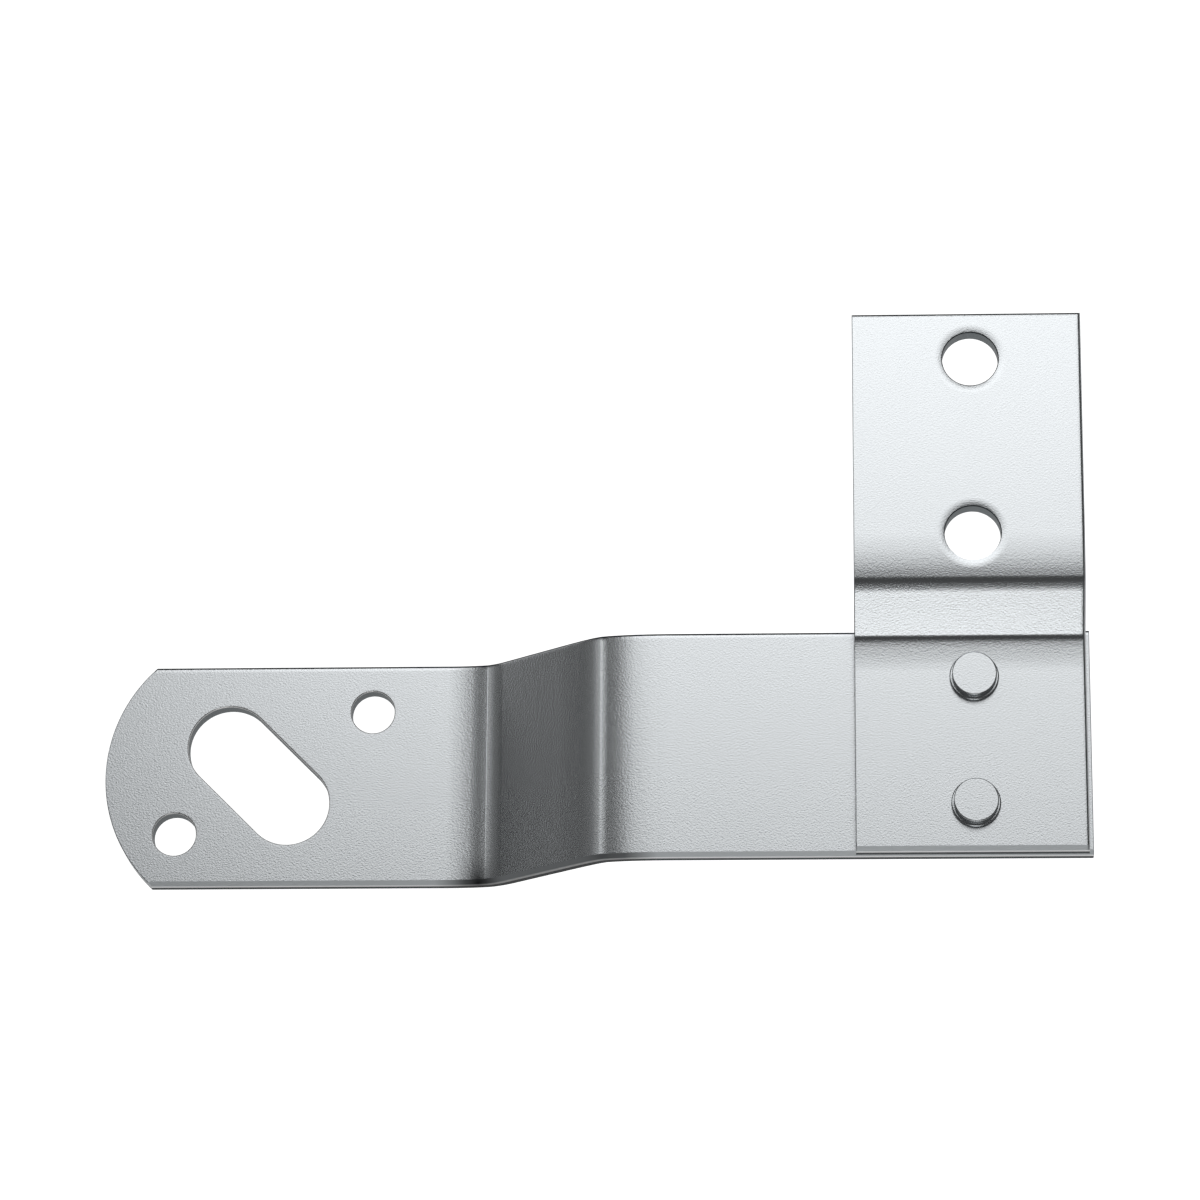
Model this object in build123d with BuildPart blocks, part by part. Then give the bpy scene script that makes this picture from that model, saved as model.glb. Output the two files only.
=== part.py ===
"""Riveted steel mounting bracket: a stepped strap with a slot and two screw holes,
and a stepped upright riveted across its raised end.

Units are millimetres. The origin is the centre of the diagonal slot on the back face of
the long strap. +X runs along the long strap to its raised end, +Y runs up the upright,
and +Z is the side that the rivet heads stand on.
"""

import os
from math import sqrt

from build123d import *

os.makedirs("parts", exist_ok=True)

# ---- Driving dimensions ------------------------------------------------------------
# Strip that both straps are cut from
strip_width = 25.0
strip_thickness = 2.0
outline_roll = 0.45  # rounding that blanking leaves along the front outline

# Long strap
end_radius = 17.1  # rounded end, centred on the slot
step_start_x = 25.2  # where the front face turns up
step_run = 13.7  # length of the slope along X
step_rise = 11.8  # how far the raised end stands off
step_hollow_radius = 5.5  # lower bend, on the front face
step_outer_radius = 9.5  # upper bend, on the front face
end_beyond_upright = 0.5  # cut end that shows past the upright

# Screw holes and slot in the low end of the long strap
screw_hole_radius = 2.4
outer_hole_x = -9.2
outer_hole_y = -6.7
inner_hole_x = 12.6
inner_hole_y = 7.2
slot_half_width = 4.65
slot_centre_distance = 9.25
slot_angle = -45.0
low_opening_roll = 0.2  # rounding of these rims on the front face

# Upright strap
upright_left_x = 66.1
upright_step_inset = 0.8  # the step starts this far inside the long strap's edge
upright_step_run = 4.9
upright_step_rise = 4.0
upright_hollow_radius = 3.0  # lower bend, on the front face
upright_outer_radius = 4.8  # upper bend, on the front face
hole_line_inset = 12.9  # left edge to the line that holes and rivets stand on

# Bolt holes in the upright
bolt_hole_radius = 3.05
bolt_hole_above_step = 5.2
bolt_hole_spacing = 20.0
bolt_hole_below_top = 5.3
bolt_hole_roll = 0.35  # rounding of these rims on the front face

# Rivets that join the two straps
rivet_above_edge = 5.1
rivet_spacing = 14.1
rivet_shank_radius = 1.75
rivet_foot_radius = 2.67
rivet_foot_height = 0.45
rivet_head_radius = 2.42
rivet_head_height = 1.6
rivet_head_edge = 0.12
rivet_tail_radius = 2.6
rivet_tail_height = 0.7
rivet_tail_edge = 0.3

# Which way a face points, read from the Z part of its normal
front_facing = 0.3
wall_facing = 0.01

# ---- Derived sizes -----------------------------------------------------------------
half_width = strip_width / 2
step_end_x = step_start_x + step_run
raised_front_z = step_rise + strip_thickness
lap_front_z = raised_front_z + strip_thickness
upright_front_z = lap_front_z + upright_step_rise
upright_back_z = upright_front_z - strip_thickness
upright_step_start_y = half_width - upright_step_inset
upright_step_end_y = upright_step_start_y + upright_step_run
strap_end_x = upright_left_x + strip_width + end_beyond_upright
corner_x = -sqrt(end_radius**2 - half_width**2)
hole_line_x = upright_left_x + hole_line_inset
bolt_hole_low_y = upright_step_end_y + bolt_hole_above_step
bolt_hole_high_y = bolt_hole_low_y + bolt_hole_spacing
upright_top_y = bolt_hole_high_y + bolt_hole_below_top
rivet_low_y = rivet_above_edge - half_width
rivet_high_y = rivet_low_y + rivet_spacing
rivet_places = {"rivet_lower": rivet_low_y, "rivet_upper": rivet_high_y}
screw_holes = [(outer_hole_x, outer_hole_y), (inner_hole_x, inner_hole_y)]
bolt_holes = [(hole_line_x, bolt_hole_low_y), (hole_line_x, bolt_hole_high_y)]
rivet_holes = [(hole_line_x, rivet_y) for rivet_y in rivet_places.values()]
rivet_foot_top_z = lap_front_z + rivet_foot_height
rivet_head_top_z = lap_front_z + rivet_head_height
rivet_tail_z = step_rise - rivet_tail_height


def stepped_profile(start, turn_up, turn_flat, end, hollow_radius, outer_radius):
    """Return the side profile of a strip whose front face runs through four points."""
    with BuildSketch() as profile:
        with BuildLine() as front:
            Polyline(start, turn_up, turn_flat, end)
            hollow_bend, outer_bend = front.vertices().sort_by(Axis.X)[1:3]
            fillet(hollow_bend, hollow_radius)
            fillet(outer_bend, outer_radius)
            offset(amount=strip_thickness, side=Side.RIGHT)
        make_face()
    return profile.sketch


def front_outline(part):
    """Return the edges where the faces on the front side meet the side walls."""
    front_faces = part.faces().filter_by(lambda face: face.normal_at().Z > front_facing)
    walls = part.faces().filter_by(lambda face: abs(face.normal_at().Z) < wall_facing)
    return front_faces.edges() & walls.edges()


# ---- Long strap --------------------------------------------------------------------
with BuildPart() as long_strap:
    with BuildSketch(Plane.XZ) as strap_side:
        add(
            stepped_profile(
                (-end_radius, strip_thickness),
                (step_start_x, strip_thickness),
                (step_end_x, raised_front_z),
                (strap_end_x, raised_front_z),
                step_hollow_radius,
                step_outer_radius,
            )
        )
    extrude(amount=half_width, both=True)

    with BuildSketch(Plane.XY) as strap_plan:
        with BuildLine() as strap_outline:
            ThreePointArc(
                (corner_x, half_width), (-end_radius, 0), (corner_x, -half_width)
            )
            Polyline(
                (corner_x, -half_width),
                (strap_end_x, -half_width),
                (strap_end_x, half_width),
                (corner_x, half_width),
            )
        make_face()
    extrude(amount=raised_front_z, mode=Mode.INTERSECT)
    fillet(front_outline(long_strap.part), outline_roll)

    with BuildSketch(Plane.XY) as low_openings:
        with Locations(*screw_holes):
            Circle(screw_hole_radius)
        SlotCenterToCenter(
            slot_centre_distance, 2 * slot_half_width, rotation=slot_angle
        )
    extrude(amount=strip_thickness, mode=Mode.SUBTRACT)
    fillet(long_strap.edges(Select.LAST).group_by(Axis.Z)[-1], low_opening_roll)

    with BuildSketch(Plane.XY.offset(step_rise)) as strap_rivet_holes:
        with Locations(*rivet_holes):
            Circle(rivet_shank_radius)
    extrude(amount=strip_thickness, mode=Mode.SUBTRACT)

long_strap.part.label = "long_strap"
export_step(long_strap.part, "parts/long_strap.step")


# ---- Upright strap -----------------------------------------------------------------
with BuildPart() as upright_strap:
    with BuildSketch(Plane.YZ.offset(upright_left_x)) as upright_side:
        add(
            stepped_profile(
                (-half_width, lap_front_z),
                (upright_step_start_y, lap_front_z),
                (upright_step_end_y, upright_front_z),
                (upright_top_y, upright_front_z),
                upright_hollow_radius,
                upright_outer_radius,
            )
        )
    extrude(amount=strip_width)
    fillet(front_outline(upright_strap.part), outline_roll)

    with BuildSketch(Plane.XY.offset(upright_back_z)) as bolt_hole_plan:
        with Locations(*bolt_holes):
            Circle(bolt_hole_radius)
    extrude(amount=strip_thickness, mode=Mode.SUBTRACT)
    fillet(upright_strap.edges(Select.LAST).group_by(Axis.Z)[-1], bolt_hole_roll)

    with BuildSketch(Plane.XY.offset(raised_front_z)) as upright_rivet_holes:
        with Locations(*rivet_holes):
            Circle(rivet_shank_radius)
    extrude(amount=strip_thickness, mode=Mode.SUBTRACT)

upright_strap.part.label = "upright_strap"
export_step(upright_strap.part, "parts/upright_strap.step")


# ---- Rivets ------------------------------------------------------------------------
rivet_outline = [
    (0, rivet_tail_z),
    (rivet_tail_radius, rivet_tail_z),
    (rivet_tail_radius, step_rise),
    (rivet_shank_radius, step_rise),
    (rivet_shank_radius, lap_front_z),
    (rivet_foot_radius, lap_front_z),
    (rivet_foot_radius, rivet_foot_top_z),
    (rivet_head_radius, rivet_foot_top_z),
    (rivet_head_radius, rivet_head_top_z),
    (0, rivet_head_top_z),
]
for name, rivet_y in rivet_places.items():
    rivet_origin = (hole_line_x, rivet_y, 0)
    with BuildPart() as rivet:
        with BuildSketch(Plane(rivet_origin, x_dir=(1, 0, 0), z_dir=(0, -1, 0))):
            with BuildLine():
                Polyline(*rivet_outline, close=True)
            make_face()
        revolve(axis=Axis(rivet_origin, (0, 0, 1)))
        rims = rivet.edges().group_by(Axis.Z)
        fillet(rims[-1], rivet_head_edge)
        fillet(rims[0], rivet_tail_edge)
    rivet.part.label = name
    export_step(rivet.part, f"parts/{name}.step")
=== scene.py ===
"""Riveted mounting bracket of satin zinc-plated steel, laid out as a Blender add-on.

Each operator builds one piece, or one group of like pieces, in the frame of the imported
model. Lengths are in metres. +X runs along the long strap, +Y up the upright and +Z is
the side that the rivet heads stand on.
"""

from math import atan2, cos, pi, radians, sin, tan

import bmesh
import bpy
from mathutils import Matrix, Vector


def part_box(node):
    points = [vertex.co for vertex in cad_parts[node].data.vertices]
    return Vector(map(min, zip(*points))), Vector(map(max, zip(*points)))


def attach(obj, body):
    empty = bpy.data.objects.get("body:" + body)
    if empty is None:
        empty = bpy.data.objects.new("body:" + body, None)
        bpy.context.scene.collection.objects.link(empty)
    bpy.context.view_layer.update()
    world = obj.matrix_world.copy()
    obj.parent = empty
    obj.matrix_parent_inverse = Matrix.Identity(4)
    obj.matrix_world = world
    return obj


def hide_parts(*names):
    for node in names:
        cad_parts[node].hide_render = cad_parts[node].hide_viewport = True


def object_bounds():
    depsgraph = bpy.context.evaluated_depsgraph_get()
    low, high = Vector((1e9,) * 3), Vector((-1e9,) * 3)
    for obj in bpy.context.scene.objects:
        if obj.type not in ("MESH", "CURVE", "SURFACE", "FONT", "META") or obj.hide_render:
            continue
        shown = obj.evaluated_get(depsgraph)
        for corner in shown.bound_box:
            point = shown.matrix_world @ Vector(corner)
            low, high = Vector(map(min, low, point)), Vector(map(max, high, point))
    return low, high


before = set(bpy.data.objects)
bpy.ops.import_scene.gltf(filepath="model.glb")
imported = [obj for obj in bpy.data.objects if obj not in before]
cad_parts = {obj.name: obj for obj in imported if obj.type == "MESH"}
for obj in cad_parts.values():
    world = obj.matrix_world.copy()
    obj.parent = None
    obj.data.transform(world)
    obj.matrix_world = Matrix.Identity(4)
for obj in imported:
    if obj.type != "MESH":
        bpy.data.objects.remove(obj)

bl_info = {
    "name": "Riveted mounting bracket",
    "version": (1, 0, 0),
    "blender": (4, 5, 0),
    "location": "View3D > Sidebar > Bracket",
    "description": "Builds a plated bracket of two riveted straps, and its studio",
    "category": "Add Mesh",
}

MM = 0.001
CAD_LOW, CAD_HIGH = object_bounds()
STRAP_LOW, STRAP_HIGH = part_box("long_strap")
UPRIGHT_LOW, UPRIGHT_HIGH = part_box("upright_strap")
RIVET_NODES = ("rivet_lower", "rivet_upper")
THROUGH = 1 * MM  # how far a cutter runs past the faces that it cuts
TINY = 0.0001 * MM
SAME_HEIGHT = 0.001 * MM  # most between points on one level
# Material slots of a strap: plating, the three bands of its outline and its holes. The
# light and dark bands are partly burnish and burr, partly painted highlight and painted
# shade; rims of slot and screw holes take the light one as a painted highlight, far rolls
# and bolt rims the dark one as painted shade.
PLATED, SHEARED, BURNISH_AND_HIGHLIGHT, BURR_AND_SHADE, PUNCHED = range(5)

# Limits on one part of a face's unit normal, by which faces are told apart
SQUARE_ON = 0.9  # least for a face that looks along the axis
WALL_LEAN = 0.2  # most that a wall looks up or down
LEVEL = 0.05  # most for a face that looks across the axis
FRONT = 0.5  # least that a front face looks up
FAR_ROLL = 0.3  # least that a far roll, painted dark as shade, looks away
FLARE_LEAST, FLARE_MOST = 0.02, 0.98  # between a punch's wall and its flat end

HOLE_VERTICES = 96
SLOT_VERTICES = 128
FLOOR_VERTICES = 128
END_STEPS = 60
BEND_STEPS = 20  # for a whole bend, shared out over its stages
FEWEST_STEPS = 3
FLARE_STEPS = 6
FLARE_EXCESS = 50  # a flare passes the face by its depth divided by this
ROLL_SEGMENTS = 6
HEAD_SEGMENTS = 4
SMOOTH_ANGLE = radians(35)
RIM_ANGLE = radians(60)

# Share of a bend's turn and radius of the front face there, from the flat inwards
STRAP_HOLLOW = (
    (0.05, 30 * MM),
    (0.09, 28 * MM),
    (0.065, 17 * MM),
    (0.095, 14 * MM),
    (0.315, 0.6 * MM),
    (0.07, 9 * MM),
    (0.145, 6.5 * MM),
    (0.17, 8 * MM),
)
STRAP_PROUD = (
    (0.05, 56 * MM),
    (0.075, 37 * MM),
    (0.06, 30 * MM),
    (0.09, 24 * MM),
    (0.125, 7 * MM),
    (0.235, 2.6 * MM),
    (0.15, 7.3 * MM),
    (0.11, 10 * MM),
    (0.075, 25 * MM),
    (0.03, 140 * MM),
)
UPRIGHT_HOLLOW = (
    (0.12, 38 * MM),
    (0.03, 26 * MM),
    (0.045, 6 * MM),
    (0.10, 3.4 * MM),
    (0.47, 1.25 * MM),
    (0.235, 1.5 * MM),
)
UPRIGHT_PROUD = (
    (0.06, 55 * MM),
    (0.06, 42 * MM),
    (0.08, 30 * MM),
    (0.04, 5 * MM),
    (0.46, 2.05 * MM),
    (0.10, 3.5 * MM),
    (0.20, 8.5 * MM),
)
# Name, colour setting and roughness of the walls' steels, in the order of their slots
WALL_STEELS = (
    ("Sheared wall", "sheared", 0.4),
    ("Burnish and painted highlight band", "burnish_and_highlight", 0.3),
    ("Burr and painted shade band", "burr_and_shade", 0.5),
    ("Punched wall", "punched", 0.4),
)
WALL_METALLIC = 0.9
# Walls are painted dark as shade this far to each side of the slope's middle, and plain
# past the next
SLOPE_MIDDLE = 32.2 * MM
SLOPE_FULL_SHADE = 9 * MM
SLOPE_SHADE_END = 12.5 * MM
RIPPLE_LEAN = radians(-40)
RIPPLE_STRETCH = (0.9, 1.2, 1.0)
FLOOR_X = 0.03
FLOOR_GAP = 0.05 * MM
LAMP_AIM = (0.037, 0.015, 0.01)
LAMP_DISTANCE = 0.6
# Name, side, width, height and brightness, where 1 is white
LAMPS = (
    ("Top", (0.06, 0.41, 0.91), 0.42, 0.36, 0.5),
    ("Top middle", (0.03, 0.36, 0.93), 0.34, 0.25, 0.45),
    ("Top far", (0.02, 0.47, 0.88), 0.34, 0.15, 0.55),
    ("Front", (0.06, -0.82, 0.56), 0.24, 0.20, 1.5),
    ("Front low", (0.04, -0.96, 0.27), 0.40, 0.12, 0.6),
    ("Left high", (-0.62, 0.28, 0.73), 0.11, 0.20, 0.8),
    ("Left middle", (-0.76, 0.30, 0.58), 0.16, 0.20, 0.4),
    ("Left low", (-0.90, 0.27, 0.33), 0.20, 0.20, 0.1),
)


# ---- Properties --------------------------------------------------------------------
def length(name, description, default):
    """Return a length property in metres."""
    return bpy.props.FloatProperty(
        name=name,
        description=description,
        default=default,
        precision=5,
        subtype="DISTANCE",
        unit="LENGTH",
    )


def share(name, description, default, most=1.0):
    """Return a plain number property from nought up to most."""
    return bpy.props.FloatProperty(
        name=name, description=description, default=default, min=0.0, max=most
    )


def tint(name, description, default):
    """Return a colour property."""
    return bpy.props.FloatVectorProperty(
        name=name,
        description=description,
        default=default,
        size=3,
        min=0.0,
        max=1.0,
        subtype="COLOR",
    )


def pair(name, description, default):
    """Return a property for two sizes, whose defaults are in millimetres."""
    return bpy.props.FloatVectorProperty(
        name=name,
        description=description,
        size=2,
        default=[number * MM for number in default],
        min=0,
        precision=4,
        subtype="XYZ",
        unit="LENGTH",
    )


def place(name, description, default):
    """Return a property for a point in metres."""
    return bpy.props.FloatVectorProperty(
        name=name,
        description=description,
        default=default,
        size=3,
        precision=5,
        subtype="TRANSLATION",
        unit="LENGTH",
    )


class BracketSizes(bpy.types.PropertyGroup):
    """Sizes of the two straps and the rivets."""

    thickness: length("Thickness", "Gauge of the strip", 2 * MM)
    outline_roll: length("Outline roll", "Widest rounding of the outline", 0.45 * MM)
    far_roll: share("Far roll", "Rounding of far edges, as a share of it", 0.6)
    right_roll: share("Right roll", "Rounding of the upright's right edge", 0.7)
    other_roll: share("Other roll", "Rounding of all other edges", 0.25)
    # Heights of the walls' dark back band and the light band over it: partly burr and
    # burnish, partly painted shade and painted highlight.
    burr_and_shade_top: length("Burr top", "Dark band at the back of a wall", 0.9 * MM)
    burnish_and_highlight_top: length("Burnished top", "Top of the light band over it", 1.35 * MM)
    end_radius: length("End radius", "Rounded end of the long strap", 17.1 * MM)
    step_start: length("Step start", "Where the front face turns up", 25.35 * MM)
    step_run: length("Step run", "Length of the slope along the strap", 13.45 * MM)
    screw_radius: length("Screw hole radius", "Both screw holes", 2.4 * MM)
    outer_hole: place("Outer hole", "Screw hole by the end", (-9.2 * MM, -6.7 * MM, 0))
    inner_hole: place("Inner hole", "Screw hole by the bend", (12.6 * MM, 7.2 * MM, 0))
    slot_radius: length("Slot radius", "Half the width of the slot", 4.65 * MM)
    slot_centres: length("Slot centres", "Between the slot's round ends", 9.25 * MM)
    slot_angle: bpy.props.FloatProperty(
        name="Slot angle", description="Lean", default=radians(-45), subtype="ANGLE"
    )
    low_roll: length("Low rim roll", "Rounding of slot and screw holes", 0.15 * MM)
    upright_inset: length("Step inset", "Upright's step inside the strap", 1.65 * MM)
    upright_run: length("Upright step run", "Slope of the upright", 6.0 * MM)
    bolt_radius: length("Bolt hole radius", "Both holes in the upright", 3.05 * MM)
    hole_line: length("Hole line", "From the upright's left edge", 12.9 * MM)
    bolt_below_top: length("Top hole", "From the upright's top edge", 5.3 * MM)
    bolt_spacing: length("Bolt spacing", "Between the bolt holes", 20 * MM)
    bolt_roll: length("Bolt rim roll", "Rounding of the bolt holes", 0.12 * MM)
    shank_radius: length("Shank radius", "Rivet through the straps", 1.75 * MM)
    foot_height: length("Foot height", "Disc under a rivet head", 0.45 * MM)
    head_radius: length("Head radius", "Flat rivet head", 2.42 * MM)
    head_edge: length("Head edge", "Rounding of a rivet head", 0.14 * MM)
    tail_radius: length("Tail radius", "Upset end of a rivet", 2.6 * MM)
    tail_height: length("Tail height", "Upset end of a rivet", 0.7 * MM)


class BracketFinish(bpy.types.PropertyGroup):
    """Colour and surface of the plating."""

    plating: tint("Plating", "Zinc-plated steel", (0.755, 0.785, 0.805))
    sheared: tint("Sheared", "Upper band of the outline walls", (0.72, 0.755, 0.775))
    # Light band colour: burnish on the walls with a painted highlight, and a painted
    # highlight on slot and screw hole rims.
    burnish_and_highlight: tint("Burnished", "Light band of the walls", (1.0, 1.0, 1.0))
    # Dark band colour: burr at the back of the walls with painted shade there, and painted
    # shade on far rolls and bolt rims.
    burr_and_shade: tint("Burr", "Dark band at the back", (0.05, 0.06, 0.065))
    punched: tint("Punched", "Walls of the holes", (0.20, 0.22, 0.23))
    slope_painted_shade: share("Slope tone", "Brightness of the walls on the slope", 0.3)
    roughness: share("Roughness", "Gloss of the flat faces", 0.24)
    grain_size: length("Grain size", "Ripple of the plating", 0.2 * MM)
    grain_height: length("Grain height", "Ripple of the plating", 0.0105 * MM)
    grain_tone: share("Grain tone", "Ripple in the colour", 0.06)
    roll_fall: pair("Edge fall", "Width and depth along far edges", (0.62, 0.052))
    rim_fall: pair("Rim fall", "The same round slot and screw holes", (0.4, 0.004))
    bolt_fall: pair("Bolt rim fall", "The same round the bolt holes", (0.95, 0.085))
    # Painted shade: a dark spot in the colour round the strap's pinched bend end.
    painted_tuck_size: pair("Tuck", "Half width and height of the pinched bend end", (3.4, 4.6))
    painted_tuck_depth: share("Tuck depth", "Darkness of its lowest point", 0.97)
    painted_tuck_place: place("Tuck place", "Its lowest point", (24.6 * MM, -12.6 * MM, 0))


class BracketStage(bpy.types.PropertyGroup):
    """Camera, lamps and floor."""

    camera_place: place("Camera", "Lens", (64.96 * MM, -148.72 * MM, 541.9 * MM))
    camera_aim: place("Aim", "Middle of the view", (37.69 * MM, 20.7 * MM, 0))
    camera_roll: bpy.props.FloatProperty(
        name="Roll", description="Turn of the view", default=0.007, subtype="ANGLE"
    )
    lens: bpy.props.FloatProperty(
        name="Lens", description="Millimetres", default=152.01, unit="CAMERA"
    )
    floor_radius: length("Floor radius", "Round pale floor", 0.5)
    floor_colour: tint("Floor", "Pale floor", (0.80, 0.80, 0.80))
    floor_white: share("Floor white", "Glow of the floor in the view", 1.0)
    floor_mirrored: share("Floor mirrored", "Share of the glow that metal shows", 0.4)
    sky: share("Sky", "Light from all around", 0.05, 10.0)


# ---- Mesh helpers ------------------------------------------------------------------
def clear_selection():
    """Go to object mode with nothing selected."""
    active = bpy.context.view_layer.objects.active
    if active and active.mode != "OBJECT":
        bpy.ops.object.mode_set(mode="OBJECT")
    bpy.ops.object.select_all(action="DESELECT")


def choose(piece):
    """Make a piece the only one selected, and the active one."""
    clear_selection()
    bpy.context.view_layer.objects.active = piece
    piece.select_set(True)


def pick(kind, test):
    """Select, in the mesh being edited, the faces or edges that pass a test."""
    bpy.ops.mesh.select_mode(type=kind)
    bpy.ops.mesh.select_all(action="DESELECT")
    mesh = bmesh.from_edit_mesh(bpy.context.object.data)
    for item in mesh.faces if kind == "FACE" else mesh.edges:
        item.select_set(test(item))
    mesh.select_flush_mode()
    bmesh.update_edit_mesh(bpy.context.object.data)


def apply_modifier(piece, kind, **settings):
    """Give a piece a modifier with these settings and apply it."""
    choose(piece)
    modifier = piece.modifiers.new(kind.title(), kind)
    for setting, value in settings.items():
        setattr(modifier, setting, value)
    bpy.ops.object.modifier_apply(modifier=modifier.name)


def settle(piece):
    """Move a piece's place, turn and scale into its mesh."""
    choose(piece)
    bpy.ops.object.transform_apply(location=True, rotation=True, scale=True)


def pull(along, up):
    """Draw the selected open edges out along X and up Z."""
    bpy.ops.mesh.extrude_region_move(TRANSFORM_OT_translate={"value": (along, 0, up)})


def paint_picked(piece, slot):
    """Give the selected faces a material slot, in edit mode."""
    piece.active_material_index = slot
    bpy.ops.object.material_slot_assign()
    piece.active_material_index = PLATED


def paint(piece, slot, test):
    """Give the faces that pass a test a material slot, in edit mode."""
    pick("FACE", test)
    paint_picked(piece, slot)


def begin_strip(start_x, end_x, width, gauge, plating):
    """Return a stub of strip, in edit mode, with its far end left open."""
    sizes = bpy.context.scene.bracket_sizes
    clear_selection()
    bpy.ops.mesh.primitive_cube_add(
        size=1,
        location=((start_x + end_x) / 2, 0, gauge / 2),
        scale=(end_x - start_x, width, gauge),
    )
    strip = bpy.context.object
    settle(strip)
    for material in (plating, *wall_steels()):
        strip.data.materials.append(material)
    bpy.ops.object.mode_set(mode="EDIT")
    paint(strip, SHEARED, is_wall)
    # Low bands of the walls: a light band over a dark back band, partly burnish and burr,
    # partly painted highlight and painted shade.
    for slot, top in ((BURNISH_AND_HIGHLIGHT, sizes.burnish_and_highlight_top), (BURR_AND_SHADE, sizes.burr_and_shade_top)):
        bpy.ops.mesh.select_all(action="SELECT")
        bpy.ops.mesh.bisect(plane_co=(0, 0, top), plane_no=(0, 0, 1), threshold=TINY)
        paint(
            strip,
            slot,
            lambda face: is_wall(face) and face.calc_center_median().z < top,
        )
    pick("FACE", lambda face: face.normal.x > SQUARE_ON)
    bpy.ops.mesh.delete(type="ONLY_FACE")
    return strip


def round_end(corner_x, width, gauge):
    """Swap the strip's square end at corner_x for an arc about the origin."""
    pick("FACE", lambda face: face.normal.x < -SQUARE_ON)
    bpy.ops.mesh.delete(type="ONLY_FACE")
    pick(
        "EDGE",
        lambda edge: all(
            v.co.y > 0 and abs(v.co.x - corner_x) < TINY for v in edge.verts
        ),
    )
    bpy.ops.mesh.spin(
        steps=END_STEPS,
        angle=2 * atan2(width / 2, -corner_x),
        center=(0, 0, 0),
        axis=(0, 0, -1),
    )
    bpy.ops.mesh.select_all(action="SELECT")
    bpy.ops.mesh.remove_doubles(threshold=TINY)
    for z in (0, gauge):
        pick(
            "EDGE",
            lambda edge: is_open_end(edge)
            and all(abs(v.co.z - z) < TINY and v.co.x < -TINY for v in edge.verts),
        )
        bpy.ops.mesh.edge_face_add()
    paint(bpy.context.object, PLATED, lambda face: not is_wall(face))


def bend_reach(angle, stages):
    """Return how far a staged bend runs from its flat, and how far it climbs."""
    run = climb = heading = 0
    for part, radius in stages:
        turned = heading + part * angle
        run += radius * (sin(turned) - sin(heading))
        climb += radius * (cos(heading) - cos(turned))
        heading = turned
    return run, climb


def bend(x, z, heading, angle, stages):
    """Sweep the open end round a bend in stages and return its new front point."""
    side = 1 if angle > 0 else -1
    for part, radius in stages:
        centre_x = x - side * radius * sin(heading)
        centre_z = z + side * radius * cos(heading)
        bpy.ops.mesh.spin(
            steps=max(FEWEST_STEPS, round(BEND_STEPS * part)),
            angle=part * angle,
            center=(centre_x, 0, centre_z),
            axis=(0, 1, 0),
        )
        heading += part * angle
        x = centre_x + side * radius * sin(heading)
        z = centre_z - side * radius * cos(heading)
    return x, z


def fold_strip(start_x, turn_x, run, rise, end_x, front_z, hollow, proud):
    """Draw the open end of a strip along X, up a step and on to its far end."""
    angle = atan2(rise, run)
    low_run, low_climb = bend_reach(angle, hollow)
    high_run, high_climb = bend_reach(angle, proud)
    low_start = turn_x - low_run + low_climb / tan(angle)
    high_end = turn_x + run + high_run - high_climb / tan(angle)
    slope = (rise - low_climb - high_climb) / sin(angle)
    pull(low_start - start_x, 0)
    x, z = bend(low_start, front_z, 0, angle, hollow)
    pull(slope * cos(angle), slope * sin(angle))
    x += slope * cos(angle)
    z += slope * sin(angle)
    bend(x, z, angle, -angle, proud[::-1])
    pull(end_x - high_end, 0)
    bpy.ops.mesh.edge_face_add()
    paint_picked(bpy.context.object, SHEARED)
    bpy.ops.mesh.select_all(action="SELECT")
    bpy.ops.mesh.normals_make_consistent(inside=False)


def is_wall(face):
    """Whether a face is a side wall of a strip."""
    return abs(face.normal.z) < WALL_LEAN


def lies_at(edge, axis, value):
    """Whether both ends of an edge have the same given coordinate."""
    return all(abs(v.co[axis] - value) < TINY for v in edge.verts)


def is_open_end(edge):
    """Whether an edge bounds a hole in the mesh."""
    return len(edge.link_faces) == 1


def is_front_outline(edge):
    """Whether an edge lies between a front face and a side wall."""
    if len(edge.link_faces) != 2:
        return False
    low, high = sorted(face.normal.z for face in edge.link_faces)
    return abs(low) < LEVEL and high > FRONT


def roll_outline(strip, near, *rolls):
    """Chamfer the near edges, then round the others by a share of that width."""
    width = bpy.context.scene.bracket_sizes.outline_roll
    pick("EDGE", lambda edge: is_front_outline(edge) and near(edge))
    bpy.ops.mesh.bevel(offset=width, segments=1, affect="EDGES", offset_type="OFFSET")
    for weight, test in rolls:
        pick("EDGE", lambda edge: is_front_outline(edge) and test(edge))
        bpy.ops.transform.edge_bevelweight(value=weight)
    bpy.ops.object.mode_set(mode="OBJECT")
    apply_modifier(
        strip,
        "BEVEL",
        limit_method="WEIGHT",
        width=width,
        segments=ROLL_SEGMENTS,
        use_clamp_overlap=False,
    )


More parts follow.
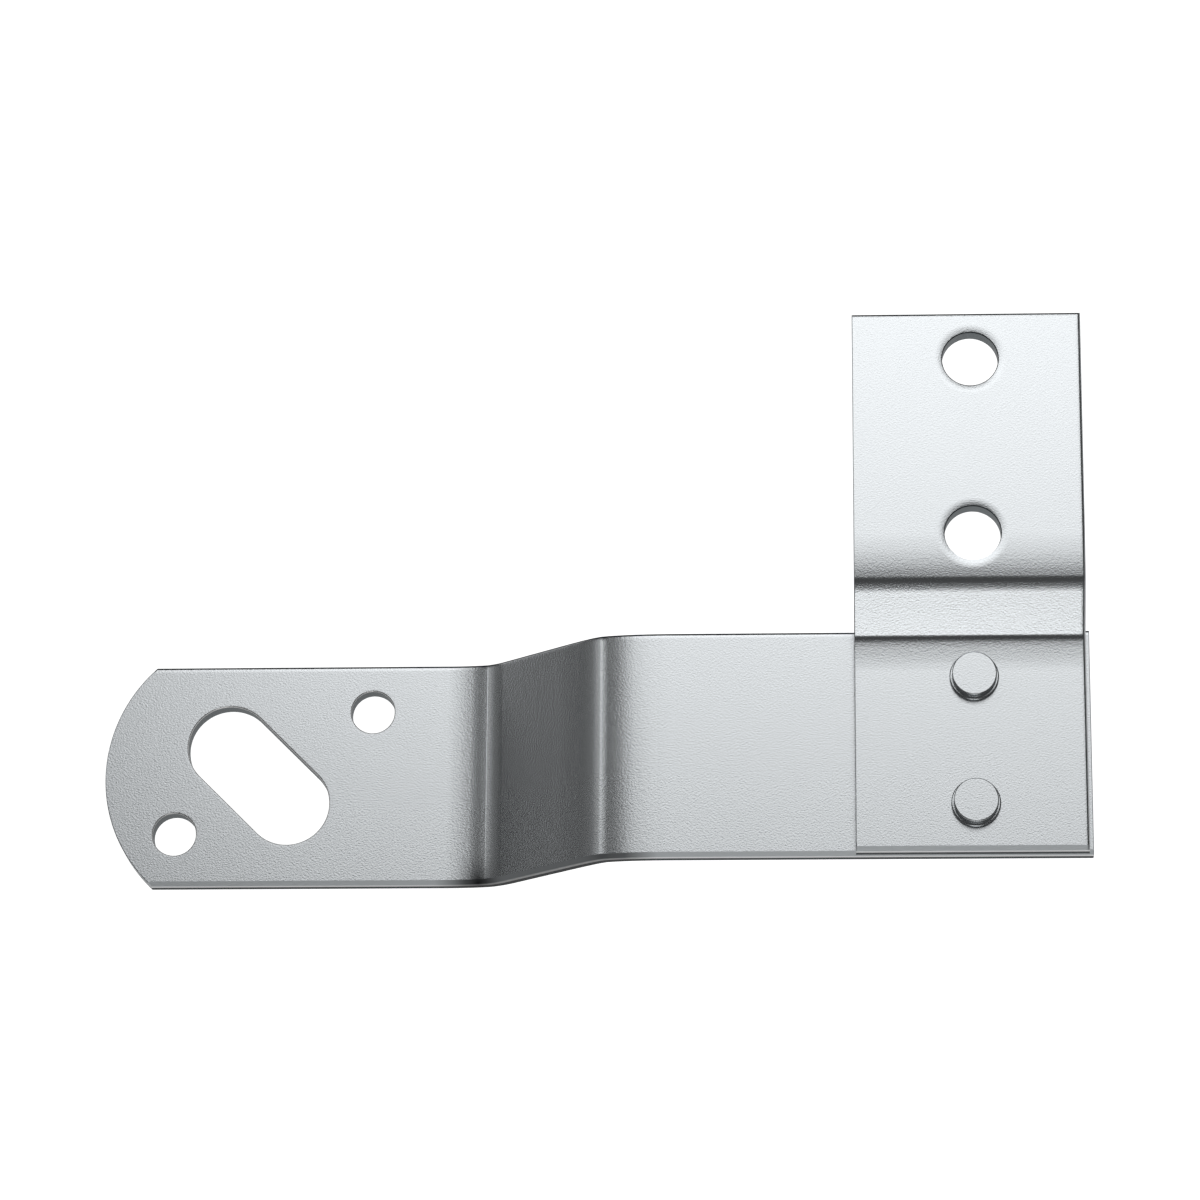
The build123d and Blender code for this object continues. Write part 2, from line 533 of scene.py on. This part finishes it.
def make_punch(radius, low_z, face_z, flare_width, flare_depth, vertices, rim):
    """Return a punch at the origin, whose flared top gives a rim its slot."""
    base_z = low_z - THROUGH
    neck_z = face_z - flare_depth
    clear_selection()
    bpy.ops.mesh.primitive_cylinder_add(
        vertices=vertices,
        radius=radius,
        depth=neck_z - base_z,
        location=(0, 0, (neck_z + base_z) / 2),
    )
    punch = bpy.context.object
    settle(punch)
    bpy.ops.object.mode_set(mode="EDIT")
    pick("FACE", lambda face: face.normal.z > SQUARE_ON)
    for step in range(FLARE_STEPS):
        low, high = (pi / 2 * turn / FLARE_STEPS for turn in (step, step + 1))
        wide = radius + flare_width * (1 - cos(high))
        narrow = radius + flare_width * (1 - cos(low))
        rise = (flare_depth + flare_depth / FLARE_EXCESS) * (sin(high) - sin(low))
        bpy.ops.mesh.extrude_region_move(
            TRANSFORM_OT_translate={"value": (0, 0, rise)}
        )
        bpy.ops.transform.resize(
            value=(wide / narrow, wide / narrow, 1), center_override=(0, 0, 0)
        )
    bpy.ops.mesh.extrude_region_move(TRANSFORM_OT_translate={"value": (0, 0, THROUGH)})
    bpy.ops.object.mode_set(mode="OBJECT")
    # The flare's faces take the rim slot, a ring of painted highlight on the strap's holes
    # and of painted shade on the bolt holes.
    for face in punch.data.polygons:
        if FLARE_LEAST < abs(face.normal.z) < FLARE_MOST:
            face.material_index = rim
    return punch


def lengthen_punch(punch, spread, angle):
    """Stretch a round punch into a slotted one about the origin, and turn it."""
    choose(punch)
    bpy.ops.object.mode_set(mode="EDIT")
    bpy.ops.mesh.select_all(action="SELECT")
    bpy.ops.mesh.bisect(
        plane_co=(0, 0, 0), plane_no=(1, 0, 0), clear_inner=True, threshold=TINY
    )
    bpy.ops.mesh.select_all(action="SELECT")
    bpy.ops.transform.translate(value=(spread / 2, 0, 0))
    pick("EDGE", is_open_end)
    pull(-spread / 2, 0)
    bpy.ops.object.mode_set(mode="OBJECT")
    apply_modifier(punch, "MIRROR", use_clip=True, merge_threshold=TINY)
    punch.rotation_euler.z = angle
    settle(punch)


def cut(piece, punch, x, y):
    """Punch a hole in a piece at x, y, and throw the punch away."""
    punch.location = (x, y, 0)
    settle(punch)
    apply_modifier(
        piece, "BOOLEAN", object=punch, operation="DIFFERENCE", solver="EXACT"
    )
    bpy.data.objects.remove(punch)


def cut_rivet_holes(piece):
    """Punch the plain holes that both rivets pass through."""
    strap_height = STRAP_HIGH.z - STRAP_LOW.z
    for node in RIVET_NODES:
        low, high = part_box(node)
        clear_selection()
        bpy.ops.mesh.primitive_cylinder_add(
            vertices=HOLE_VERTICES,
            radius=bpy.context.scene.bracket_sizes.shank_radius,
            depth=4 * strap_height,  # well past both straps
        )
        cut(piece, bpy.context.object, (low.x + high.x) / 2, (low.y + high.y) / 2)


def paint_walls(piece, far_y):
    """Give the rolled near and far edges and the walls of the holes their steels."""
    roll = bpy.context.scene.bracket_sizes.outline_roll
    near = CAD_LOW.y + roll
    far = far_y - roll
    bpy.ops.object.mode_set(mode="EDIT")
    # Far rolls get the dark band's steel: a painted shade line along the far edges.
    paint(
        piece,
        BURR_AND_SHADE,
        lambda face: face.normal.y > FAR_ROLL
        and face.normal.z > 0
        and face.calc_center_median().y > far,
    )
    paint(
        piece,
        SHEARED,
        lambda face: face.normal.z > LEVEL
        and face.normal.y < -LEVEL
        and face.calc_center_median().y < near,
    )
    paint(
        piece, PUNCHED, lambda face: is_wall(face) and face.material_index == PLATED
    )
    bpy.ops.object.mode_set(mode="OBJECT")


def finish_piece(piece, name, slot_name, *nodes):
    """Name a finished piece, smooth it and let it stand for its node."""
    piece.name = name
    piece.data.name = name
    choose(piece)
    bpy.ops.object.shade_smooth_by_angle(angle=SMOOTH_ANGLE)
    apply_modifier(piece, "WEIGHTED_NORMAL", keep_sharp=True, weight=100)
    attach(piece, "root")
    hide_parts(*nodes)


# ---- Materials ---------------------------------------------------------------------
def link(tree, source, target):
    """Join two sockets of a node tree."""
    tree.links.new(source, target)


def math_node(tree, operation, *values):
    """Return the output of a math node whose inputs are sockets or numbers."""
    node = tree.nodes.new("ShaderNodeMath")
    node.operation = operation
    for socket, value in zip(node.inputs, values):
        if isinstance(value, bpy.types.NodeSocket):
            link(tree, value, socket)
        else:
            socket.default_value = value
    return node.outputs[0]


def new_group(name, inputs, outputs):
    """Return a new node group with its input and output nodes."""
    tree = bpy.data.node_groups.new(name, "ShaderNodeTree")
    for way, sockets in (("INPUT", inputs), ("OUTPUT", outputs)):
        for label, kind in sockets.items():
            tree.interface.new_socket(label, in_out=way, socket_type=kind)
    inside = tree.nodes.new("NodeGroupInput")
    outside = tree.nodes.new("NodeGroupOutput")
    return tree, inside.outputs, outside.inputs


def use_group(tree, group, **values):
    """Return the first output of a node group fed with sockets or numbers."""
    node = tree.nodes.new("ShaderNodeGroup")
    node.node_tree = group
    for label, value in values.items():
        if isinstance(value, bpy.types.NodeSocket):
            link(tree, value, node.inputs[label])
        else:
            node.inputs[label].default_value = value
    return node.outputs[0]


def ripple_group():
    """Return the node group for the fine leaning ripple of plating."""
    found = bpy.data.node_groups.get("Plating ripple")
    if found:
        return found
    tree, inside, outside = new_group(
        "Plating ripple",
        {"Vector": "NodeSocketVector", "Size": "NodeSocketFloat"},
        {"Ripple": "NodeSocketFloat"},
    )
    scaled = tree.nodes.new("ShaderNodeVectorMath")
    scaled.operation = "SCALE"
    link(tree, inside["Vector"], scaled.inputs[0])
    link(tree, math_node(tree, "DIVIDE", 1.0, inside["Size"]), scaled.inputs["Scale"])
    lean = tree.nodes.new("ShaderNodeMapping")
    lean.inputs["Rotation"].default_value = (0, 0, RIPPLE_LEAN)
    lean.inputs["Scale"].default_value = RIPPLE_STRETCH
    link(tree, scaled.outputs[0], lean.inputs["Vector"])
    noise = tree.nodes.new("ShaderNodeTexNoise")
    for label, value in (("Scale", 1.0), ("Detail", 1.0), ("Roughness", 0.5)):
        noise.inputs[label].default_value = value
    link(tree, lean.outputs[0], noise.inputs["Vector"])
    link(tree, noise.outputs["Fac"], outside["Ripple"])
    return tree


def fall_group():
    """Return the node group for a face that falls away towards an edge."""
    found = bpy.data.node_groups.get("Edge fall")
    if found:
        return found
    tree, inside, outside = new_group(
        "Edge fall",
        {
            "Distance": "NodeSocketFloat",
            "Width": "NodeSocketFloat",
            "Depth": "NodeSocketFloat",
        },
        {"Height": "NodeSocketFloat"},
    )
    share_in = math_node(tree, "DIVIDE", inside["Distance"], inside["Width"])
    near = math_node(tree, "SUBTRACT", 1.0, share_in)
    near = math_node(tree, "MINIMUM", math_node(tree, "MAXIMUM", near, 0.0), 1.0)
    squared = math_node(tree, "MULTIPLY", near, near)
    drop = math_node(tree, "MULTIPLY", squared, inside["Depth"])
    link(tree, math_node(tree, "MULTIPLY", drop, -1.0), outside["Height"])
    return tree


def split(tree, coordinates):
    """Return the X, Y and Z of a vector socket."""
    node = tree.nodes.new("ShaderNodeSeparateXYZ")
    link(tree, coordinates, node.inputs[0])
    return node.outputs


def hypotenuse(tree, along, across):
    """Return the length of two lengths at right angles."""
    square = math_node(tree, "MULTIPLY", across, across)
    squares = math_node(tree, "MULTIPLY_ADD", along, along, square)
    return math_node(tree, "SQRT", squares)


def rim_distance(tree, axes, x, y, radius, spread=0, angle=0):
    """Return how far outside a hole's rim a point lies; a spread makes a slot."""
    from_x = math_node(tree, "SUBTRACT", axes["X"], x)
    from_y = math_node(tree, "SUBTRACT", axes["Y"], y)
    side_x = math_node(tree, "MULTIPLY", from_x, cos(angle))
    along = math_node(tree, "MULTIPLY_ADD", from_y, sin(angle), side_x)
    side_y = math_node(tree, "MULTIPLY", from_y, cos(angle))
    across = math_node(tree, "MULTIPLY_ADD", from_x, -sin(angle), side_y)
    past = math_node(tree, "SUBTRACT", math_node(tree, "ABSOLUTE", along), spread / 2)
    past = math_node(tree, "MAXIMUM", past, 0.0)
    return math_node(tree, "SUBTRACT", hypotenuse(tree, past, across), radius)


def strap_relief(tree, axes):
    """Return the distances over which the strap's front falls away, and how."""
    sizes = bpy.context.scene.bracket_sizes
    finish = bpy.context.scene.bracket_finish
    outline = math_node(tree, "SUBTRACT", STRAP_HIGH.y, axes["Y"])
    rims = rim_distance(
        tree,
        axes,
        0,
        0,
        sizes.slot_radius,
        sizes.slot_centres,
        sizes.slot_angle,
    )
    for hole in (sizes.outer_hole, sizes.inner_hole):
        rim = rim_distance(tree, axes, hole[0], hole[1], sizes.screw_radius)
        rims = math_node(tree, "MINIMUM", rims, rim)
    return (outline, finish.roll_fall), (rims, finish.rim_fall)


def upright_relief(tree, axes):
    """Return the distances over which the upright's front falls away, and how."""
    sizes = bpy.context.scene.bracket_sizes
    finish = bpy.context.scene.bracket_finish
    top = math_node(tree, "SUBTRACT", UPRIGHT_HIGH.y, axes["Y"])
    right = math_node(tree, "SUBTRACT", UPRIGHT_HIGH.x, axes["X"])
    hole_x = UPRIGHT_LOW.x + sizes.hole_line
    top_y = UPRIGHT_HIGH.y - sizes.bolt_below_top
    rims = math_node(
        tree,
        "MINIMUM",
        rim_distance(tree, axes, hole_x, top_y, sizes.bolt_radius),
        rim_distance(tree, axes, hole_x, top_y - sizes.bolt_spacing, sizes.bolt_radius),
    )
    outline = math_node(tree, "MINIMUM", top, right)
    return (outline, finish.roll_fall), (rims, finish.bolt_fall)


def painted_tuck_shade(tree, axes):
    """Return the painted shade, as a brightness, of front and walls round the strap's
    pinched bend end.
    """
    finish = bpy.context.scene.bracket_finish
    from_x = math_node(tree, "SUBTRACT", axes["X"], finish.painted_tuck_place[0])
    from_y = math_node(tree, "SUBTRACT", axes["Y"], finish.painted_tuck_place[1])
    half_width, height = finish.painted_tuck_size
    away = hypotenuse(
        tree, math_node(tree, "MULTIPLY", from_x, height / half_width), from_y
    )
    shade = use_group(
        tree,
        fall_group(),
        Distance=away,
        Width=height,
        Depth=finish.painted_tuck_depth,
    )
    return math_node(tree, "ADD", shade, 1.0)


def new_metal(name, metallic, roughness):
    """Return a new metal with its shader and the object's coordinates."""
    material = bpy.data.materials.new(name)
    material.use_nodes = True
    tree = material.node_tree
    shader = tree.nodes["Principled BSDF"]
    shader.inputs["Metallic"].default_value = metallic
    shader.inputs["Roughness"].default_value = roughness
    coordinates = tree.nodes.new("ShaderNodeTexCoord").outputs["Object"]
    return material, shader, coordinates


def colour_metal(tree, shader, colour, tone):
    """Give a shader a colour made lighter or darker by a tone socket."""
    toned = tree.nodes.new("ShaderNodeVectorMath")
    toned.operation = "SCALE"
    toned.inputs[0].default_value = colour
    link(tree, tone, toned.inputs["Scale"])
    link(tree, toned.outputs[0], shader.inputs["Base Color"])


def plated_steel(name, relief=None, shade=None):
    """Return satin zinc-plated steel with a fine ripple, its relief, and any painted shade
    in its colour.
    """
    finish = bpy.context.scene.bracket_finish
    material, shader, coordinates = new_metal(name, 1.0, finish.roughness)
    tree = material.node_tree
    ripple = use_group(
        tree, ripple_group(), Vector=coordinates, Size=finish.grain_size
    )
    tone = math_node(
        tree, "MULTIPLY_ADD", ripple, finish.grain_tone, 1 - finish.grain_tone / 2
    )
    # The shade darkens the colour: painted shade.
    if shade:
        tone = math_node(tree, "MULTIPLY", tone, shade(tree, split(tree, coordinates)))
    colour_metal(tree, shader, finish.plating, tone)
    height = math_node(tree, "MULTIPLY", ripple, finish.grain_height)
    if relief:
        for distance, (width, depth) in relief(tree, split(tree, coordinates)):
            drop = use_group(
                tree, fall_group(), Distance=distance, Width=width, Depth=depth
            )
            height = math_node(tree, "ADD", height, drop)
    bump = tree.nodes.new("ShaderNodeBump")
    bump.inputs["Distance"].default_value = 1.0
    link(tree, height, bump.inputs["Height"])
    link(tree, bump.outputs["Normal"], shader.inputs["Normal"])
    return material


def wall_steel(name, colour, roughness):
    """Return the steel of a band of the walls, made once, its colour darkened by painted
    shade on the slope and round the strap's pinched bend end.
    """
    found = bpy.data.materials.get(name)
    if found:
        return found
    material, shader, coordinates = new_metal(name, WALL_METALLIC, roughness)
    tree = material.node_tree
    axes = split(tree, coordinates)
    # Painted shade: walls darken towards the slope's middle and round the pinched bend
    # end.
    from_middle = math_node(tree, "SUBTRACT", axes["X"], SLOPE_MIDDLE)
    away = math_node(tree, "ABSOLUTE", from_middle)
    tone = tree.nodes.new("ShaderNodeMapRange")
    tone.inputs["From Min"].default_value = SLOPE_FULL_SHADE
    tone.inputs["From Max"].default_value = SLOPE_SHADE_END
    tone.inputs["To Min"].default_value = bpy.context.scene.bracket_finish.slope_painted_shade
    link(tree, away, tone.inputs["Value"])
    painted_shade_tone = math_node(
        tree, "MULTIPLY", tone.outputs["Result"], painted_tuck_shade(tree, axes)
    )
    colour_metal(tree, shader, colour, painted_shade_tone)
    return material


def wall_steels():
    """Return the steels of the walls, in the order of their material slots."""
    finish = bpy.context.scene.bracket_finish
    return [
        wall_steel(name, getattr(finish, colour), roughness)
        for name, colour, roughness in WALL_STEELS
    ]


# ---- Pieces ------------------------------------------------------------------------
class BRACKET_OT_long_strap(bpy.types.Operator):
    """Build the stepped long strap with its rounded end, slot and screw holes"""

    bl_idname = "bracket.long_strap"
    bl_label = "Long strap"
    bl_options = {"REGISTER", "UNDO"}

    def execute(self, context):
        sizes = context.scene.bracket_sizes
        gauge = sizes.thickness
        width = STRAP_HIGH.y - STRAP_LOW.y
        corner_x = -((sizes.end_radius**2 - width**2 / 4) ** 0.5)
        # The strap's colour carries painted shade round its pinched bend end.
        material = plated_steel("Plated long strap", strap_relief, painted_tuck_shade)
        strap = begin_strip(corner_x, 0, width, gauge, material)
        round_end(corner_x, width, gauge)
        pick("EDGE", is_open_end)
        fold_strip(
            0,
            sizes.step_start,
            sizes.step_run,
            STRAP_HIGH.z - gauge,
            STRAP_HIGH.x,
            gauge,
            STRAP_HOLLOW,
            STRAP_PROUD,
        )
        roll_outline(
            strap,
            lambda edge: lies_at(edge, 1, STRAP_LOW.y),
            (sizes.far_roll, lambda edge: lies_at(edge, 1, STRAP_HIGH.y)),
            (
                sizes.other_roll,
                lambda edge: not lies_at(edge, 1, STRAP_LOW.y)
                and not lies_at(edge, 1, STRAP_HIGH.y),
            ),
        )
        roll = sizes.low_roll
        # Rims of the screw holes and slot get the light band's steel: a painted highlight
        # ring.
        for hole in (sizes.outer_hole, sizes.inner_hole):
            punch = make_punch(
                sizes.screw_radius, 0, gauge, roll, roll, HOLE_VERTICES, BURNISH_AND_HIGHLIGHT
            )
            cut(strap, punch, hole[0], hole[1])
        punch = make_punch(
            sizes.slot_radius, 0, gauge, roll, roll, SLOT_VERTICES, BURNISH_AND_HIGHLIGHT
        )
        lengthen_punch(punch, sizes.slot_centres, sizes.slot_angle)
        cut(strap, punch, 0, 0)
        cut_rivet_holes(strap)
        paint_walls(strap, STRAP_HIGH.y)
        finish_piece(strap, "bracket_strap", "plated_steel", "long_strap")
        return {"FINISHED"}


class BRACKET_OT_upright_strap(bpy.types.Operator):
    """Build the stepped upright strap with its two bolt holes"""

    bl_idname = "bracket.upright_strap"
    bl_label = "Upright strap"
    bl_options = {"REGISTER", "UNDO"}

    def execute(self, context):
        sizes = context.scene.bracket_sizes
        gauge = sizes.thickness
        width = UPRIGHT_HIGH.x - UPRIGHT_LOW.x
        lap_back = UPRIGHT_LOW.z
        tall = UPRIGHT_HIGH.y - UPRIGHT_LOW.y
        stub = 1 * MM
        material = plated_steel("Plated upright strap", upright_relief)
        upright = begin_strip(0, stub, width, gauge, material)
        pick("EDGE", is_open_end)
        fold_strip(
            stub,
            STRAP_HIGH.y - sizes.upright_inset - UPRIGHT_LOW.y,
            sizes.upright_run,
            UPRIGHT_HIGH.z - lap_back - gauge,
            tall,
            gauge,
            UPRIGHT_HOLLOW,
            UPRIGHT_PROUD,
        )
        roll_outline(
            upright,
            lambda edge: lies_at(edge, 0, 0),
            (sizes.far_roll, lambda edge: lies_at(edge, 0, tall)),
            (sizes.right_roll, lambda edge: lies_at(edge, 1, -width / 2)),
            (sizes.other_roll, lambda edge: lies_at(edge, 1, width / 2)),
        )
        upright.rotation_euler.z = pi / 2
        upright.location = (UPRIGHT_LOW.x + width / 2, UPRIGHT_LOW.y, lap_back)
        settle(upright)
        hole_x = UPRIGHT_LOW.x + sizes.hole_line
        top_hole_y = UPRIGHT_HIGH.y - sizes.bolt_below_top
        for hole_y in (top_hole_y, top_hole_y - sizes.bolt_spacing):
            # Bolt hole rims get the dark band's steel: a painted shade ring.
            punch = make_punch(
                sizes.bolt_radius,
                UPRIGHT_HIGH.z - gauge,
                UPRIGHT_HIGH.z,
                sizes.bolt_roll,
                sizes.bolt_roll,
                HOLE_VERTICES,
                BURR_AND_SHADE,
            )
            cut(upright, punch, hole_x, hole_y)
        cut_rivet_holes(upright)
        paint_walls(upright, UPRIGHT_HIGH.y)
        finish_piece(upright, "bracket_upright", "plated_steel", "upright_strap")
        return {"FINISHED"}


class BRACKET_OT_rivets(bpy.types.Operator):
    """Build the two flat-headed rivets that join the straps"""

    bl_idname = "bracket.rivets"
    bl_label = "Rivets"
    bl_options = {"REGISTER", "UNDO"}

    def execute(self, context):
        material = plated_steel("Plated rivet")
        for node in RIVET_NODES:
            rivet = self.make_rivet(context.scene.bracket_sizes, *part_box(node))
            rivet.data.materials.append(material)
            finish_piece(rivet, f"bracket_{node}", "rivet_steel", node)
        return {"FINISHED"}

    def make_rivet(self, sizes, low, high):
        """Return one rivet, turned from its foot disc out to head and tail."""
        foot_radius = (high.x - low.x) / 2
        seat_z = UPRIGHT_LOW.z + sizes.thickness
        grip = 2 * sizes.thickness
        head_rise = high.z - seat_z - sizes.foot_height
        clear_selection()
        bpy.ops.mesh.primitive_cylinder_add(
            vertices=HOLE_VERTICES,
            radius=foot_radius,
            depth=sizes.foot_height,
            location=(0, 0, seat_z + sizes.foot_height / 2),
        )
        rivet = bpy.context.object
        settle(rivet)
        bpy.ops.object.mode_set(mode="EDIT")
        self.step("up", sizes.head_radius / foot_radius, head_rise)
        self.step("down", sizes.shank_radius / foot_radius, -grip)
        self.step("down", sizes.tail_radius / sizes.shank_radius, -sizes.tail_height)
        pick("EDGE", lambda edge: self.is_rim(edge, seat_z))
        bpy.ops.mesh.bevel(
            offset=sizes.head_edge,
            segments=HEAD_SEGMENTS,
            affect="EDGES",
            offset_type="OFFSET",
        )
        bpy.ops.object.mode_set(mode="OBJECT")
        rivet.location = ((low.x + high.x) / 2, (low.y + high.y) / 2, 0)
        settle(rivet)
        return rivet

    def step(self, way, ratio, rise):
        """Widen or narrow the end face by a ratio, then draw it out by a rise."""
        sign = 1 if way == "up" else -1
        heights = [v.co.z for v in bmesh.from_edit_mesh(bpy.context.object.data).verts]
        end_z = max(heights) if way == "up" else min(heights)
        pick(
            "FACE",
            lambda face: face.normal.z * sign > SQUARE_ON
            and abs(face.calc_center_median().z - end_z) < SAME_HEIGHT,
        )
        bpy.ops.mesh.extrude_region_move(TRANSFORM_OT_translate={"value": (0, 0, 0)})
        bpy.ops.transform.resize(value=(ratio, ratio, 1), center_override=(0, 0, 0))
        bpy.ops.mesh.extrude_region_move(
            TRANSFORM_OT_translate={"value": (0, 0, rise)}
        )

    def is_rim(self, edge, seat_z):
        """Whether an edge is a sharp outer rim of the head, its foot or the tail."""
        if len(edge.link_faces) != 2:
            return False
        if edge.calc_face_angle_signed() < RIM_ANGLE:
            return False
        heights = [vertex.co.z - seat_z for vertex in edge.verts]
        if abs(heights[0] - heights[1]) > SAME_HEIGHT:
            return False
        return abs(heights[0]) > SAME_HEIGHT


# ---- Stage -------------------------------------------------------------------------
class BRACKET_OT_stage(bpy.types.Operator):
    """Set the camera, the lamps, the world and the pale floor"""

    bl_idname = "bracket.stage"
    bl_label = "Stage"
    bl_options = {"REGISTER", "UNDO"}

    def execute(self, context):
        stage = context.scene.bracket_stage
        self.add_camera(context.scene, stage)
        self.add_floor(stage)
        self.add_world(context.scene, stage)
        for lamp in LAMPS:
            self.add_lamp(*lamp)
        context.scene.view_settings.view_transform = "Standard"
        return {"FINISHED"}

    def add_camera(self, scene, stage):
        """Place the camera and aim it."""
        camera = bpy.data.objects.new("Camera", bpy.data.cameras.new("Camera"))
        camera.data.sensor_width = 36.0
        camera.data.lens = stage.lens
        camera.data.clip_start = 0.01
        scene.collection.objects.link(camera)
        back = (Vector(stage.camera_place) - Vector(stage.camera_aim)).normalized()
        right = Vector((0, 1, 0)).cross(back).normalized()
        turn = Matrix((right, back.cross(right), back)).transposed()
        turn = turn @ Matrix.Rotation(stage.camera_roll, 3, "Z")
        camera.matrix_world = Matrix.Translation(stage.camera_place) @ turn.to_4x4()
        scene.camera = camera

    def add_floor(self, stage):
        """Lay the round floor under the mounting face."""
        clear_selection()
        bpy.ops.mesh.primitive_circle_add(
            vertices=FLOOR_VERTICES,
            radius=stage.floor_radius,
            fill_type="NGON",
            location=(FLOOR_X, 0, CAD_LOW.z - FLOOR_GAP),
        )
        floor = bpy.context.object
        floor.name = "Floor"
        material = bpy.data.materials.new("Pale floor")
        material.use_nodes = True
        tree = material.node_tree
        tree.nodes.remove(tree.nodes["Principled BSDF"])
        matt = tree.nodes.new("ShaderNodeBsdfDiffuse")
        matt.inputs["Color"].default_value = (*stage.floor_colour, 1)
        glow = tree.nodes.new("ShaderNodeEmission")
        path = tree.nodes.new("ShaderNodeLightPath")
        bounced = math_node(
            tree,
            "MAXIMUM",
            path.outputs["Is Glossy Ray"],
            path.outputs["Is Transmission Ray"],
        )
        mirrored = math_node(tree, "MULTIPLY", bounced, stage.floor_mirrored)
        seen = math_node(tree, "MAXIMUM", path.outputs["Is Camera Ray"], mirrored)
        strength = math_node(tree, "MULTIPLY", seen, stage.floor_white)
        link(tree, strength, glow.inputs["Strength"])
        both = tree.nodes.new("ShaderNodeAddShader")
        link(tree, matt.outputs[0], both.inputs[0])
        link(tree, glow.outputs[0], both.inputs[1])
        link(tree, both.outputs[0], tree.nodes["Material Output"].inputs["Surface"])
        floor.data.materials.append(material)

    def add_world(self, scene, stage):
        """Light the room evenly and dimly."""
        world = bpy.data.worlds.new("Studio")
        world.use_nodes = True
        scene.world = world
        background = world.node_tree.nodes["Background"]
        background.inputs["Color"].default_value = (1, 1, 1, 1)
        background.inputs["Strength"].default_value = stage.sky

    def add_lamp(self, name, side, width, height, glow):
        """Hang a soft box on one side of the bracket, facing it."""
        lamp = bpy.data.objects.new(name, bpy.data.lights.new(name, "AREA"))
        lamp.data.shape = "RECTANGLE"
        lamp.data.size = width
        lamp.data.size_y = height
        lamp.data.energy = pi * width * height * glow
        way = Vector(side).normalized()
        lamp.location = Vector(LAMP_AIM) + way * LAMP_DISTANCE
        lamp.rotation_euler = way.to_track_quat("Z", "Y").to_euler()
        bpy.context.scene.collection.objects.link(lamp)


# ---- Panel and registration --------------------------------------------------------
OPERATORS = (
    BRACKET_OT_long_strap,
    BRACKET_OT_upright_strap,
    BRACKET_OT_rivets,
    BRACKET_OT_stage,
)


class VIEW3D_PT_bracket(bpy.types.Panel):
    """Buttons and sizes of the bracket"""

    bl_label = "Bracket"
    bl_idname = "VIEW3D_PT_bracket"
    bl_space_type = "VIEW_3D"
    bl_region_type = "UI"
    bl_category = "Bracket"

    def draw(self, context):
        for operator in OPERATORS:
            self.layout.operator(operator.bl_idname)
        for group_name in GROUPS:
            group = getattr(context.scene, group_name)
            box = self.layout.box()
            for setting in group.bl_rna.properties:
                if not setting.is_readonly and setting.identifier != "name":
                    box.prop(group, setting.identifier)


GROUPS = {
    "bracket_sizes": BracketSizes,
    "bracket_finish": BracketFinish,
    "bracket_stage": BracketStage,
}
CLASSES = (*GROUPS.values(), *OPERATORS, VIEW3D_PT_bracket)


def register():
    """Add the classes and the scene's settings."""
    for each in CLASSES:
        bpy.utils.register_class(each)
    for group_name, group in GROUPS.items():
        pointer = bpy.props.PointerProperty(type=group)
        setattr(bpy.types.Scene, group_name, pointer)


def unregister():
    """Take the scene's settings and the classes away."""
    for group_name in GROUPS:
        delattr(bpy.types.Scene, group_name)
    for each in reversed(CLASSES):
        bpy.utils.unregister_class(each)


def main():
    """Build the bracket and its stage."""
    register()
    bpy.ops.bracket.long_strap()
    bpy.ops.bracket.upright_strap()
    bpy.ops.bracket.rivets()
    bpy.ops.bracket.stage()


if __name__ == "__main__":
    main()
